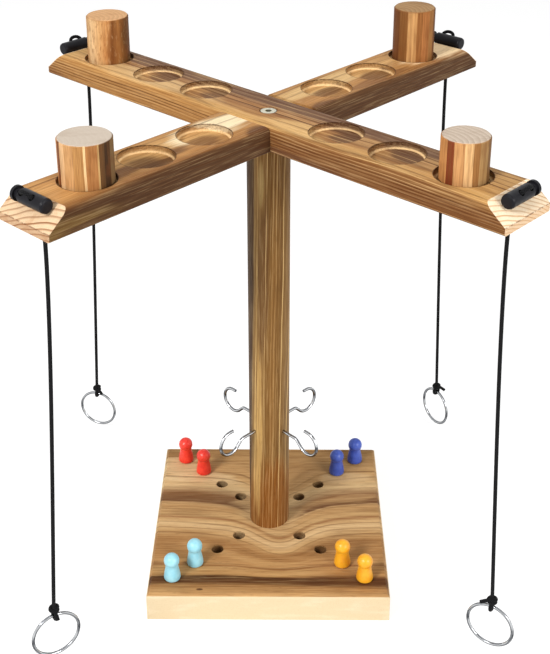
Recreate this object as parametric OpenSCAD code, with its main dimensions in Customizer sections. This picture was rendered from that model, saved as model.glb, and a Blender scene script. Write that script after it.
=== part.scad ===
// Ring toss game for four players: a square base board carries a round post, a cross of two
// half-lapped arms, four screw hooks on the post, four hanging rings on cords with sprung cord
// locks, turned score pegs in a drilled board, and four wooden blocks in shallow pockets.
// Units are millimetres. The origin is the middle of the board's underside, +Z is up, and the
// front of the game, where the blue and orange pegs stand, faces -Y.

/* [Base board] */
// Side of the square board
base_side = 150; // [140:1:200]
// Thickness of the board
base_thick = 19.5; // [17:0.5:25]
// Bevel along the board's upper edges
base_bevel = 2; // [0.5:0.1:4]
// Depth of the post's socket in the board
socket_deep = 8.5; // [4:0.5:10]

/* [Post] */
// Diameter of the post
post_d = 25.7; // [24:0.1:30]
// Whole length of the post, socket end included
post_len = 283.5; // [240:0.5:320]

/* [Arms] */
// Length of the front left arm from the post's axis to its lower end edge
arm_reach_fl = 173; // [170:0.5:190]
// Length of the front right arm
arm_reach_fr = 174; // [171:0.5:190]
// Length of the rear left arm
arm_reach_rl = 178.5; // [177:0.5:190]
// Length of the rear right arm
arm_reach_rr = 179.6; // [174:0.5:190]
// Width of an arm
arm_wide = 40.2; // [37:0.1:46]
// Thickness of an arm
arm_thick = 14.5; // [13:0.5:20]
// Rounding along the arms' long upper edges
arm_round = 3.5; // [1:0.5:4]
// Rounding along the arms' long lower edges
arm_under_round = 1; // [0.5:0.1:2]
// Upright strip left under the slanted end of an arm
end_strip = 4.3; // [2:0.1:6]
// Length of the slanted end of an arm, along the arm
end_run = 12.5; // [11:0.5:14]
// Turn of the cross about the post, away from the board's diagonals
cross_turn = 2.5; // [-5:0.1:5]

/* [Pockets] */
// Diameter of a pocket's mouth
pocket_d = 31; // [29.5:0.1:33]
// Depth of a pocket
pocket_deep = 4; // [2:0.5:6]
// Radius of the cove round a pocket's floor
pocket_cove = 2; // [0.5:0.1:2.5]
// Distance of the innermost pocket from the post's axis
pocket_first = 51; // [46:1:53]
// Distance from the innermost pocket to the middle one
pocket_step = 42; // [38:1:43]
// Distance of the front left block's pocket from the lower end edge of its arm
pocket_in_fl = 40.5; // [37:0.1:45]
// Distance of the front right block's pocket from the lower end edge of its arm
pocket_in_fr = 39; // [37:0.1:45]
// Distance of the rear left block's pocket from the lower end edge of its arm
pocket_in_rl = 38.5; // [37:0.1:45]
// Distance of the rear right block's pocket from the lower end edge of its arm
pocket_in_rr = 43.6; // [37:0.1:45]

/* [Blocks] */
// Diameter of the front left block
block_d_fl = 28.3; // [22:0.1:29]
// Height of the front left block
block_h_fl = 27; // [18:0.1:46]
// Diameter of the front right block
block_d_fr = 25.4; // [22:0.1:29]
// Height of the front right block
block_h_fr = 25.7; // [18:0.1:46]
// Diameter of the rear left block
block_d_rl = 26.7; // [22:0.1:29]
// Height of the rear left block
block_h_rl = 31.9; // [18:0.1:46]
// Diameter of the rear right block
block_d_rr = 26.3; // [22:0.1:29]
// Height of the rear right block
block_h_rr = 35.9; // [18:0.1:46]
// Rounding of the blocks' rims
block_rim = 0.8; // [0.2:0.1:2]

/* [Pegs] */
// Diameter of a peg hole
peg_hole_d = 8; // [6:0.1:9]
// Depth of a peg hole
peg_hole_deep = 9; // [6:0.5:11]
// Distance of the innermost peg holes from the board's two middle lines
peg_first = 19.8; // [19:0.1:22]
// Step from one peg hole to the next, along both middle lines
peg_step = 13.4; // [12:0.1:14]
// Diameter of a peg's round head
peg_head_d = 9.6; // [8:0.1:11]
// Diameter of a peg's waist
peg_waist_d = 7.8; // [6:0.1:8]
// Diameter of a peg's foot
peg_foot_d = 10.4; // [9.5:0.1:12]
// Height of a peg above the board
peg_high = 18.3; // [14:0.1:24]
// Length of a peg's stem in its hole
peg_stem_len = 8; // [4:0.5:8.5]

/* [Hooks] */
// Height of the hooks' shanks above the floor
hook_z = 94; // [70:1:130]
// Diameter of the hooks' wire
hook_wire_d = 2; // [1.5:0.1:2.5]
// Radius of the hooks' bend, to the middle of the wire
hook_bend_r = 8; // [6:0.5:10]
// Distance of the middle of the bend from the post's axis
hook_bend_out = 34; // [32:0.5:40]
// Length of thread in the post
hook_thread_len = 8; // [5:0.5:10]
// Length of the hooks' straight tip
hook_tip_len = 2.5; // [1:0.5:5]

/* [Cord locks] */
// Outer diameter of a lock's barrel
barrel_d = 8; // [7.8:0.1:8.4]
// Length of a lock's barrel
barrel_len = 19.5; // [19.5:0.5:22]
// Bore of the barrel
barrel_bore_d = 6; // [5.9:0.1:6.1]
// Thickness of the barrel's closed end
barrel_end = 1.5; // [1.2:0.1:1.8]
// Diameter of a plunger's button
button_d = 8.2; // [6.5:0.1:8.2]
// Thickness of a plunger's button
button_thick = 1.8; // [1.4:0.1:2.4]
// Travel of a plunger
plunger_travel = 2.7; // [2:0.1:2.9]
// Distance of the front left lock's axis past the upper edge of its slanted end
lock_out_fl = 6.5; // [5:0.5:8]
// Distance of the front right lock's axis past that edge
lock_out_fr = 7.5; // [5:0.5:8]
// Distance of the rear left lock's axis past that edge
lock_out_rl = 5.5; // [5:0.5:8]
// Distance of the rear right lock's axis past that edge
lock_out_rr = 5; // [5:0.5:8]
// Distance between the two cord holes of a lock
leg_gap = 8; // [7.8:0.1:8.2]
// Diameter of the cord holes in a lock
lock_hole_d = 3.6; // [2.9:0.1:3.8]
// Height that the cord's loop stands above the barrel
loop_rise = 2.2; // [2:0.1:5]

/* [Cords and rings] */
// Diameter of the cords
cord_d = 2.2; // [2:0.1:2.3]
// Height of the front left knot's middle
knot_z_fl = 64; // [50:1:90]
// Height of the front right knot's middle
knot_z_fr = 60; // [50:1:90]
// Height of the knots' middle on the two rear cords
knot_z_rear = 36; // [35:1:90]
// Distance that the front left knot hangs further out than its cord's upper end
drop_lean_fl = 15; // [-2:0.5:16]
// Distance that the front right knot hangs further out than its cord's upper end
drop_lean_fr = 10; // [-2:0.5:16]
// Distance that the rear left knot hangs further out than its cord's upper end
drop_lean_rl = 14; // [-2:0.5:16]
// Distance that the rear right knot hangs further out than its cord's upper end
drop_lean_rr = 12; // [-2:0.5:16]
// Diameter of the cord holes in the arms
arm_hole_d = 3.2; // [2.9:0.1:4.5]
// Outer diameter of a ring
ring_d = 29; // [26:0.5:32]
// Diameter of the rings' wire
ring_wire_d = 1.8; // [1.5:0.1:2]
// Diameter of a knot's body
knot_d = 6; // [5.6:0.1:7]
// Length of a knot's free tail
knot_tail = 4.5; // [3:0.5:6]
// Direction of the front left ring, in plan
ring_turn_fl = 32; // [-90:1:90]
// Direction of the front right ring, in plan
ring_turn_fr = -32; // [-90:1:90]
// Direction of the rear left ring, in plan
ring_turn_rl = -18; // [-90:1:90]
// Direction of the rear right ring, in plan
ring_turn_rr = -58; // [-90:1:90]

/* [Bolts] */
// Diameter of the bolts' shanks
bolt_d = 5; // [4.5:0.5:5.5]
// Diameter of the bolts' flat heads
bolt_head_d = 9.5; // [8.6:0.1:10.8]
// Height of the bolts' tapered heads
bolt_head_h = 2.6; // [2:0.1:2.8]
// Width across the flats of the hex sockets
hex_wide = 3.6; // [2.8:0.1:4]
// Depth of the hex sockets
hex_deep = 2; // [1.5:0.1:2.5]
// Length of the upper bolt
top_bolt_len = 30; // [28:1:34]
// Length of the lower bolt
foot_bolt_len = 20; // [18:1:24]
// Outer diameter of the threaded inserts in the post
insert_d = 8; // [7.5:0.1:10]
// Length of the threaded inserts
insert_len = 12; // [10:0.5:14]

/* [Hidden] */

// Radial clearance of shanks, stems and tenons in their holes
fit = 0.05;
// Gap between a lifted or turning piece and its seat
seat = 0.3;
// Gap between a lock's barrel and the slanted end it lies on
rest = 0.5;
// Overshoot of cutting shapes past the faces they cut
over = 1;
round_fine = 96;
round_small = 48;
cord_sides = 8;

base_top = base_thick;
socket_z = base_thick - socket_deep;
arm_z = socket_z + post_len;
arm_top = arm_z + arm_thick;
lap_z = arm_z + arm_thick / 2;
slant = atan2(arm_thick - end_strip, end_run);
pocket_z = arm_top - pocket_deep;
peg_hole_z = base_top - peg_hole_deep;

barrel_r = barrel_d / 2;
barrel_mouth = barrel_len * 0.35;
barrel_back = barrel_mouth - barrel_len;
plunger_back = -6.3;
plunger_d = barrel_bore_d - 2 * fit;
plunger_slot = cord_d + 2 * seat;
spring_d = 5;
spring_bore = 3.2;
spring_len = plunger_back - plunger_travel - barrel_back - barrel_end - seat;

ring_r = (ring_d - ring_wire_d) / 2;
wire_play = 0.25;
loop_r = ring_wire_d / 2 + cord_d / 2 + wire_play;
knot_above = knot_d / 2 + ring_wire_d / 2 + seat;
cord_in_knot = 1;
cord_start_gap = 0.45;
cord_start_d = 1.2;
wrap_bite = 0.8;
wrap_tilt = 18;
wrap_lift = 0.8;
low_wrap_tilt = -24;
low_wrap_roll = 14;
low_wrap_drop = 0.4;
tail_d = cord_d - 0.3;

peg_foot_h = 1.2;
peg_sole_in = 0.8;
peg_sole_out = 0.2;
peg_sole_h = 0.4;
peg_steps = 6;
peg_waist_z = peg_high - peg_head_d / 2 - sqrt(pow(peg_head_d, 2) - pow(peg_waist_d, 2)) / 2;
hook_lead_r = 4;
hook_dip = 45;
hook_slope = 4.3;
joint_swell = 0.04;
countersink_d = 11.2;
head_sink = 0.4;

post_rim = 0.6;

// The four corners are numbered 0 front left, 1 front right, 2 rear left, 3 rear right
function board_angle(i) = [-135, -45, 135, 45][i];
function corner_angle(i) = board_angle(i) + cross_turn;
function lock_side(i) = [-1, 1, -1, 1][i];
function hang_side(i) = [-1, -1, 1, -1][i];
function block_d(i) = [block_d_fl, block_d_fr, block_d_rl, block_d_rr][i];
function block_h(i) = [block_h_fl, block_h_fr, block_h_rl, block_h_rr][i];
function ring_turn(i) = [ring_turn_fl, ring_turn_fr, ring_turn_rl, ring_turn_rr][i];
function knot_z(i) = [knot_z_fl, knot_z_fr, knot_z_rear, knot_z_rear][i];
function drop_lean(i) = [drop_lean_fl, drop_lean_fr, drop_lean_rl, drop_lean_rr][i];
function wire_z(i) = knot_z(i) - knot_above;
function arm_reach(i) = [arm_reach_fl, arm_reach_fr, arm_reach_rl, arm_reach_rr][i];
function lock_out(i) = [lock_out_fl, lock_out_fr, lock_out_rl, lock_out_rr][i];
function lock_r(i) = arm_reach(i) - end_run + lock_out(i);
function lock_z(i) = arm_top - lock_out(i) * tan(slant) + (barrel_r + rest) / cos(slant);
function pocket_in(i) = [pocket_in_fl, pocket_in_fr, pocket_in_rl, pocket_in_rr][i];
function pocket_last(i) = arm_reach(i) - pocket_in(i);
function pocket_r(i, k) = k < 2 ? pocket_first + k * pocket_step : pocket_last(i);
function tail_turn(i) = [-60, 190, -50, -20][i];
function tail_droop(i) = [35, 5, 24, 24][i];

// The lock lies turned to the slanted end, so its cord holes meet the arm's upright ones there
leg_drop = barrel_r + rest;
function drop_r(i) = lock_r(i) - leg_drop * sin(slant);

// Place in plan at distance r along the arm of corner i, off the arm's middle line by as much
// as the lock's cord hole is
function drop_xy(i, r) =
    let (a = corner_angle(i), t = hang_side(i) * lock_side(i) * leg_gap / 2)
    [r * cos(a) - t * sin(a), r * sin(a) + t * cos(a)];
function cord_xy(i) = drop_xy(i, drop_r(i));
function knot_xy(i) = drop_xy(i, drop_r(i) + drop_lean(i));

// Cord that leaves a lock: up through the arm, square to the slanted end through one hole of the
// lock, over in a loop, and down the other hole, as points in the lock's frame
loop_steps = 6;
loop_sink = 0.6;
loop_foot = barrel_r - loop_sink;
loop_high = loop_rise + loop_sink;
leg_end_in = 0.4;
leg_end = leg_end_in - barrel_r;
function loop_points(i) =
    let (x = hang_side(i) * leg_gap / 2, fall = lock_z(i) - leg_drop * cos(slant) - arm_z)
    concat(
        [[x, -lock_side(i) * fall * sin(slant), -leg_drop - fall * cos(slant)], [x, 0, -leg_drop]],
        [for (k = [0:loop_steps])
            let (a = 180 * k / loop_steps)
            [x * cos(a), 0, loop_foot + loop_high * sin(a)]],
        [[-x, 0, leg_end]]);

// Hanging stretch of a cord, as points [outwards, sideways, height]: one long shallow bow towards the post
// on top of its lean, with its points closest together at the top
drop_steps = 8;
drop_bow = 2;
drop_skew = 1.2;
function drop_top() = arm_z - cord_start_gap;
function drop_end(i) = knot_z(i) + knot_d / 2 - cord_in_knot;
function drop_points(i) = [for (k = [0:drop_steps])
    let (s = k / drop_steps)
    [s * s * drop_lean(i) - drop_bow * sin(180 * pow(s, drop_skew)), 0,
        drop_top() + s * s * (drop_end(i) - drop_top())]];

// Sweep along a route that never runs along Y
function step_along(p, k) = p[min(k + 1, len(p) - 1)] - p[max(k - 1, 0)];
function unit(v) = v / norm(v);
function ring_at(p, r, k) =
    let (t = unit(step_along(p, k)), u = unit(cross([0, 1, 0], t)), v = cross(t, u))
    [for (s = [0:cord_sides - 1])
        let (a = 360 * s / cord_sides)
        p[k] + r[k] * (u * cos(a) + v * sin(a))];

// Closed tube along points, with a radius for each point
module cord_tube(points, radii) {
    n = len(points);
    corners = [for (k = [0:n - 1]) each ring_at(points, radii, k)];
    sides = [for (k = [0:n - 2], s = [0:cord_sides - 1])
        let (a = k * cord_sides + s, b = k * cord_sides + (s + 1) % cord_sides)
        [a, a + cord_sides, b + cord_sides, b]];
    first = [for (s = [0:cord_sides - 1]) s];
    last = [for (s = [cord_sides - 1:-1:0]) (n - 1) * cord_sides + s];
    polyhedron(corners, concat(sides, [first, last]));
}

// Round bar along X, open at neither end
module bar(d, from, to) {
    translate([from, 0, 0])
        rotate([0, 90, 0])
            cylinder(d = d, h = to - from, $fn = round_small);
}

// Upright hole cutter
module drill(d, from, to) {
    translate([0, 0, from])
        cylinder(d = d, h = to - from, $fn = round_small);
}

module wood() {
    color([0.76, 0.57, 0.34])
        children();
}

module black_plastic() {
    color([0.1, 0.1, 0.11])
        children();
}

module black_cord() {
    color([0.08, 0.08, 0.08])
        children();
}

module chrome_wire() {
    color([0.82, 0.83, 0.85])
        children();
}

module place_at_corner(i) {
    rotate([0, 0, corner_angle(i)])
        translate([lock_r(i), 0, 0])
            children();
}

// Lock frame: X runs along the barrel toward the button, Z square to the arm's slanted end, and
// the origin is on the barrel's axis
module place_lock(i) {
    place_at_corner(i)
        translate([0, 0, lock_z(i)])
            rotate([0, slant, 0])
                rotate([0, 0, lock_side(i) * 90])
                    children();
}

module place_ring(i) {
    translate([knot_xy(i)[0], knot_xy(i)[1], wire_z(i)])
        rotate([0, 0, ring_turn(i)])
            children();
}

module base_board() {
    wood()
        difference() {
            base_block();
            drill(post_d + 2 * fit, socket_z, base_top + over);
            drill(bolt_d + 2 * fit, -over, base_top);
            translate([0, 0, head_sink + bolt_head_h])
                mirror([0, 0, 1])
                    countersink();
            for (i = [0:3], k = [0:3]) {
                peg_place(i, k)
                    drill(peg_hole_d, peg_hole_z, base_top + over);
            }
        }
}

// Board with bevelled upper edges
module base_block() {
    half = base_side / 2;
    intersection() {
        translate([-half, -half, 0])
            cube([base_side, base_side, base_thick]);
        bevel_profile();
        rotate([0, 0, 90])
            bevel_profile();
    }
}

module bevel_profile() {
    half = base_side / 2;
    rotate([90, 0, 0])
        translate([0, 0, -half])
            linear_extrude(base_side)
                polygon([[-half, 0], [half, 0], [half, base_thick - base_bevel],
                    [half - base_bevel, base_thick], [base_bevel - half, base_thick],
                    [-half, base_thick - base_bevel]]);
}

// Cone for a flat head, wide end up, with its foot at the origin
module countersink() {
    cylinder(d1 = bolt_d + 2 * fit, d2 = countersink_d, h = bolt_head_h, $fn = round_small);
    translate([0, 0, bolt_head_h])
        cylinder(d = countersink_d, h = over + head_sink, $fn = round_small);
}

// Peg hole k of corner i, counted from the middle of the board
module peg_place(i, k) {
    reach = (peg_first + k * peg_step) * sqrt(2);
    rotate([0, 0, board_angle(i)])
        translate([reach, 0, 0])
            children();
}

module centre_post() {
    wood()
        difference() {
            translate([0, 0, socket_z])
                rotate_extrude($fn = round_fine)
                    polygon([[0, 0], [post_d / 2 - post_rim, 0], [post_d / 2, post_rim],
                        [post_d / 2, post_len], [0, post_len]]);
            drill(insert_d + 2 * fit, arm_z - insert_len, arm_z + over);
            drill(bolt_d + 2 * fit, arm_top - top_bolt_len - over, arm_z);
            drill(insert_d + 2 * fit, socket_z - over, socket_z + insert_len);
            drill(bolt_d + 2 * fit, socket_z, head_sink + foot_bolt_len + over);
            for (i = [0:3]) {
                rotate([0, 0, board_angle(i)])
                    translate([0, 0, hook_z])
                        bar(hook_wire_d + 2 * fit, post_d / 2 - hook_thread_len - seat, post_d);
            }
        }
}

// Cross-section of an arm, rounded along its upper and lower edges
module arm_section() {
    half = arm_wide / 2;
    translate([-half, arm_under_round])
        square([arm_wide, arm_thick - arm_under_round - arm_round]);
    translate([arm_round - half, arm_thick - arm_round])
        square([arm_wide - 2 * arm_round, arm_round]);
    translate([arm_under_round - half, 0])
        square([arm_wide - 2 * arm_under_round, arm_under_round]);
    for (s = [-1, 1]) {
        translate([s * (half - arm_round), arm_thick - arm_round])
            circle(r = arm_round, $fn = round_small);
        translate([s * (half - arm_under_round), arm_under_round])
            circle(r = arm_under_round, $fn = round_small);
    }
}

// Full bar with slanted ends, before its holes: X reaches corner first, -X corner second
module arm_blank(first, second) {
    cut = 2 * arm_thick;
    ends = [arm_reach(first), arm_reach(second)];
    difference() {
        rotate([90, 0, 90])
            translate([0, 0, -ends[1]])
                linear_extrude(ends[0] + ends[1])
                    arm_section();
        for (e = [0, 1]) {
            rotate([0, 0, 180 * e])
                translate([ends[e], 0, end_strip])
                    rotate([0, slant - 90, 0])
                        translate([0, -arm_wide, -cut])
                            cube([cut, 2 * arm_wide, 2 * cut]);
        }
    }
}

// Pocket for a block: straight wall, cove and flat floor
module pocket() {
    r = pocket_d / 2;
    translate([0, 0, pocket_cove])
        cylinder(r = r, h = pocket_deep - pocket_cove + over, $fn = round_fine);
    cylinder(r = r - pocket_cove, h = pocket_deep, $fn = round_fine);
    translate([0, 0, pocket_cove])
        rotate_extrude($fn = round_fine)
            translate([r - pocket_cove, 0])
                circle(r = pocket_cove, $fn = round_small);
}

// One arm with its pockets and cord holes; first and second are the corners it reaches
module arm(first, second, lap_from, lap_to) {
    difference() {
        rotate([0, 0, corner_angle(first)])
            translate([0, 0, arm_z])
                arm_blank(first, second);
        rotate([0, 0, corner_angle(first)])
            translate([-arm_wide / 2 - fit, -arm_wide, lap_from])
                cube([arm_wide + 2 * fit, 2 * arm_wide, lap_to - lap_from]);
        for (i = [first, second]) {
            for (k = [0:2]) {
                rotate([0, 0, corner_angle(i)])
                    translate([pocket_r(i, k), 0, pocket_z])
                        pocket();
            }
            translate([cord_xy(i)[0], cord_xy(i)[1], 0])
                drill(arm_hole_d, arm_z - over, arm_top + over);
        }
        drill(bolt_d + 2 * fit, arm_z - over, arm_top + over);
        translate([0, 0, arm_top - head_sink - bolt_head_h])
            countersink();
    }
}

module through_arm() {
    wood()
        arm(1, 2, arm_z - over, lap_z);
}

module crossed_arm() {
    wood()
        arm(0, 3, lap_z, arm_top + over);
}

// Flat-head bolt, head up, with the top of its head at the origin
module bolt(length) {
    chrome_wire()
        difference() {
            union() {
                translate([0, 0, -bolt_head_h])
                    cylinder(d1 = bolt_d, d2 = bolt_head_d, h = bolt_head_h, $fn = round_small);
                translate([0, 0, -length])
                    cylinder(d = bolt_d, h = length, $fn = round_small);
            }
            translate([0, 0, -hex_deep])
                cylinder(d = hex_wide / cos(30), h = hex_deep + over, $fn = 6);
        }
}

module top_bolt() {
    translate([0, 0, arm_top - head_sink])
        bolt(top_bolt_len);
}

module foot_bolt() {
    translate([0, 0, head_sink])
        mirror([0, 0, 1])
            bolt(foot_bolt_len);
}

// Threaded insert, drawn as a plain sleeve
module insert() {
    color([0.78, 0.62, 0.28])
        difference() {
            cylinder(d = insert_d, h = insert_len - seat, $fn = round_small);
            translate([0, 0, -over])
                cylinder(d = bolt_d + 2 * fit, h = insert_len + 2 * over, $fn = round_small);
        }
}

module top_insert() {
    translate([0, 0, arm_z - insert_len + seat])
        insert();
}

module foot_insert() {
    translate([0, 0, socket_z])
        insert();
}

// Arc of round wire in the XZ plane, about the origin
module wire_arc(r, d, from, to) {
    rotate([90, 0, 0])
        rotate([0, 0, from])
            rotate_extrude(angle = to - from, $fn = round_fine)
                translate([r, 0])
                    circle(d = d, $fn = round_small);
}

// Ball at a joint of two lengths of wire
module wire_joint(x, z) {
    translate([x, 0, z])
        sphere(d = hook_wire_d + joint_swell, $fn = round_small);
}

// Screw hook in the XZ plane, its shank at the height of the origin and X outwards
module hook() {
    slope_x = hook_bend_out - hook_bend_r * sin(hook_dip) - hook_slope * cos(hook_dip);
    slope_z = hook_lead_r * (cos(hook_dip) - 1);
    bend_z = slope_z - hook_slope * sin(hook_dip) + hook_bend_r * cos(hook_dip);
    lead_x = slope_x - hook_lead_r * sin(hook_dip);
    bar(hook_wire_d, post_d / 2 - hook_thread_len, lead_x);
    wire_joint(lead_x, 0);
    translate([lead_x, 0, -hook_lead_r])
        wire_arc(hook_lead_r, hook_wire_d, 90 - hook_dip, 90);
    wire_joint(slope_x, slope_z);
    translate([slope_x, 0, slope_z])
        rotate([0, hook_dip, 0])
            bar(hook_wire_d, 0, hook_slope);
    wire_joint(slope_x + hook_slope * cos(hook_dip), slope_z - hook_slope * sin(hook_dip));
    translate([hook_bend_out, 0, bend_z])
        wire_arc(hook_bend_r, hook_wire_d, -90 - hook_dip, 90);
    wire_joint(hook_bend_out, bend_z + hook_bend_r);
    translate([hook_bend_out, 0, bend_z + hook_bend_r])
        bar(hook_wire_d, -hook_tip_len, 0);
}

module post_hook(i) {
    chrome_wire()
        rotate([0, 0, board_angle(i)])
            translate([0, 0, hook_z])
                hook();
}

module block(i) {
    r = block_d(i) / 2;
    h = block_h(i);
    wood()
        rotate([0, 0, corner_angle(i)])
            translate([pocket_last(i), 0, pocket_z + seat])
                rotate_extrude($fn = round_fine)
                    polygon([[0, 0], [r - pocket_cove, 0], [r, pocket_cove], [r, h - block_rim],
                        [r - block_rim, h], [0, h]]);
}

// Turned peg: a ball head, a waist, a bell-shaped foot and a stem
module peg(i, k, tint) {
    color(tint)
        peg_place(i, k)
            translate([0, 0, base_top + seat]) {
                translate([0, 0, -peg_stem_len])
                    cylinder(d = peg_hole_d - 2 * fit, h = peg_stem_len + peg_foot_h,
                        $fn = round_small);
                rotate_extrude($fn = round_small)
                    peg_outline();
                translate([0, 0, peg_high - peg_head_d / 2])
                    sphere(d = peg_head_d, $fn = round_small);
            }
}

// Half outline of a peg's foot and waist
module peg_outline() {
    foot = peg_foot_d / 2;
    waist = peg_waist_d / 2;
    polygon(concat([[0, 0], [foot - peg_sole_in, 0], [foot - peg_sole_out, peg_sole_h]],
        [for (k = [0:peg_steps])
            let (s = k / peg_steps)
            [waist + (foot - waist) * (1 + cos(180 * s)) / 2,
                peg_foot_h + s * (peg_waist_z - peg_foot_h)]],
        [[0, peg_waist_z]]));
}

module lock_barrel(i) {
    black_plastic()
        place_lock(i)
            difference() {
                barrel_form();
                bar(barrel_bore_d, barrel_back + barrel_end, barrel_mouth + over);
                for (s = [-1, 1]) {
                    translate([s * leg_gap / 2, 0, 0])
                        drill(lock_hole_d, -barrel_d, barrel_d);
                }
            }
}

// Barrel with a rounded closed end and a bevelled mouth
module barrel_form() {
    lip = 0.5;
    nose = 1.2;
    corner = nose * (1 - sqrt(0.5));
    rotate([0, 90, 0])
        rotate_extrude($fn = round_small)
            polygon([[0, barrel_back], [barrel_r - nose, barrel_back],
                [barrel_r - corner, barrel_back + corner], [barrel_r, barrel_back + nose],
                [barrel_r, barrel_mouth - lip], [barrel_r - lip, barrel_mouth],
                [0, barrel_mouth]]);
}

module lock_plunger(i) {
    reach = plunger_travel + seat;
    black_plastic()
        place_lock(i)
            difference() {
                union() {
                    bar(plunger_d, plunger_back, barrel_mouth + reach);
                    bar(button_d, barrel_mouth + reach, barrel_mouth + reach + button_thick);
                }
                for (s = [-1, 1]) {
                    translate([s * leg_gap / 2, 0, 0])
                        long_hole(plunger_slot, plunger_travel);
                }
            }
}

// Upright slot that starts at the origin and runs along X
module long_hole(wide, run) {
    for (x = [0, run]) {
        translate([x, 0, 0])
            drill(wide, -barrel_d, barrel_d);
    }
    translate([0, -wide / 2, -barrel_d])
        cube([run, wide, 2 * barrel_d]);
}

// Spring pressed solid against the barrel's closed end
module lock_spring(i) {
    color([0.7, 0.71, 0.73])
        place_lock(i)
            difference() {
                bar(spring_d, barrel_back + barrel_end, barrel_back + barrel_end + spring_len);
                bar(spring_bore, barrel_back, barrel_mouth);
            }
}

module cord_loop(i) {
    points = loop_points(i);
    black_cord()
        place_lock(i)
            cord_tube(points, [for (p = points) cord_d / 2]);
}

module cord_drop(i) {
    points = drop_points(i);
    ends = [for (k = [0:len(points) - 1]) k == 0 ? cord_start_d / 2 : cord_d / 2];
    black_cord()
        translate([cord_xy(i)[0], cord_xy(i)[1], 0])
            rotate([0, 0, corner_angle(i)])
                cord_tube(points, ends);
}

// Knot: a loop round the ring's wire, a rounded body with two wraps, and a free tail
module knot(i) {
    black_cord()
        place_ring(i) {
            rotate([0, 90, 0])
                wrap(loop_r);
            translate([0, 0, knot_above])
                sphere(d = knot_d, $fn = round_small);
            translate([0, 0, knot_above + wrap_lift])
                rotate([wrap_tilt, 0, 0])
                    wrap(knot_d / 2 - wrap_bite);
            translate([0, 0, knot_above - low_wrap_drop])
                rotate([low_wrap_tilt, low_wrap_roll, 0])
                    wrap(knot_d / 2 - wrap_bite);
            rotate([0, 0, tail_turn(i) - ring_turn(i)])
                translate([0, 0, knot_above])
                    rotate([0, tail_droop(i), 0])
                        bar(tail_d, 0, knot_d / 2 + knot_tail);
        }
}

// Turn of cord about the Z axis
module wrap(r) {
    rotate_extrude($fn = round_small)
        translate([r, 0])
            circle(d = cord_d, $fn = round_small / 2);
}

module ring(i) {
    chrome_wire()
        place_ring(i)
            translate([0, 0, -ring_r])
                rotate([90, 0, 0])
                    rotate_extrude($fn = round_fine)
                        translate([ring_r, 0])
                            circle(d = ring_wire_d, $fn = round_small / 2);
}

red = [0.86, 0.2, 0.14];
blue = [0.16, 0.38, 0.72];
sky = [0.5, 0.8, 0.92];
orange = [0.96, 0.66, 0.18];

base_board();
centre_post();
through_arm();
crossed_arm();
top_bolt();
foot_bolt();
top_insert();
foot_insert();
post_hook(0);  // hook_fl
post_hook(1);  // hook_fr
post_hook(2);  // hook_rl
post_hook(3);  // hook_rr
block(0);  // block_fl
block(1);  // block_fr
block(2);  // block_rl
block(3);  // block_rr
peg(0, 2, sky);  // peg_sky_inner
peg(0, 3, sky);  // peg_sky_outer
peg(1, 2, orange);  // peg_orange_inner
peg(1, 3, orange);  // peg_orange_outer
peg(2, 2, red);  // peg_red_inner
peg(2, 3, red);  // peg_red_outer
peg(3, 2, blue);  // peg_blue_inner
peg(3, 3, blue);  // peg_blue_outer
lock_barrel(0);  // barrel_fl
lock_barrel(1);  // barrel_fr
lock_barrel(2);  // barrel_rl
lock_barrel(3);  // barrel_rr
lock_plunger(0);  // plunger_fl
lock_plunger(1);  // plunger_fr
lock_plunger(2);  // plunger_rl
lock_plunger(3);  // plunger_rr
lock_spring(0);  // spring_fl
lock_spring(1);  // spring_fr
lock_spring(2);  // spring_rl
lock_spring(3);  // spring_rr
cord_loop(0);  // loop_fl
cord_loop(1);  // loop_fr
cord_loop(2);  // loop_rl
cord_loop(3);  // loop_rr
cord_drop(0);  // cord_fl
cord_drop(1);  // cord_fr
cord_drop(2);  // cord_rl
cord_drop(3);  // cord_rr
knot(0);  // knot_fl
knot(1);  // knot_fr
knot(2);  // knot_rl
knot(3);  // knot_rr
ring(0);  // ring_fl
ring(1);  // ring_fr
ring(2);  // ring_rl
ring(3);  // ring_rr
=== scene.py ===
import math
import bpy
from mathutils import Matrix, Vector


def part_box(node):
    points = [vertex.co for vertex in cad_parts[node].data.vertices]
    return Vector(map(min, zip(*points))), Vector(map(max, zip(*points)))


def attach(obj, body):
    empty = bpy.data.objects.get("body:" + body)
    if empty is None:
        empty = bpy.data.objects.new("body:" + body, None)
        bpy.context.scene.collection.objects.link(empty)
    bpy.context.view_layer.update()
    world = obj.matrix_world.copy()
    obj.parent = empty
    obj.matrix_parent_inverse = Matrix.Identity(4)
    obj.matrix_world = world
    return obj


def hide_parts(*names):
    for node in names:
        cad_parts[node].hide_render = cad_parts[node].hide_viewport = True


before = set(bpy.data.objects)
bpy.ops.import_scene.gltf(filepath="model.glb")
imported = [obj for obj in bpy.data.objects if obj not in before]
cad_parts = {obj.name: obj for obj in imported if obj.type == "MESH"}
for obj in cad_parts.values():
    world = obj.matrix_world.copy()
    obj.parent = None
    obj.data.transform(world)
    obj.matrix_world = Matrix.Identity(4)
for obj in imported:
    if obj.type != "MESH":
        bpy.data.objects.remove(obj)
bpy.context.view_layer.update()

MM = 0.001
corners = ("fl", "fr", "rl", "rr")

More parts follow.
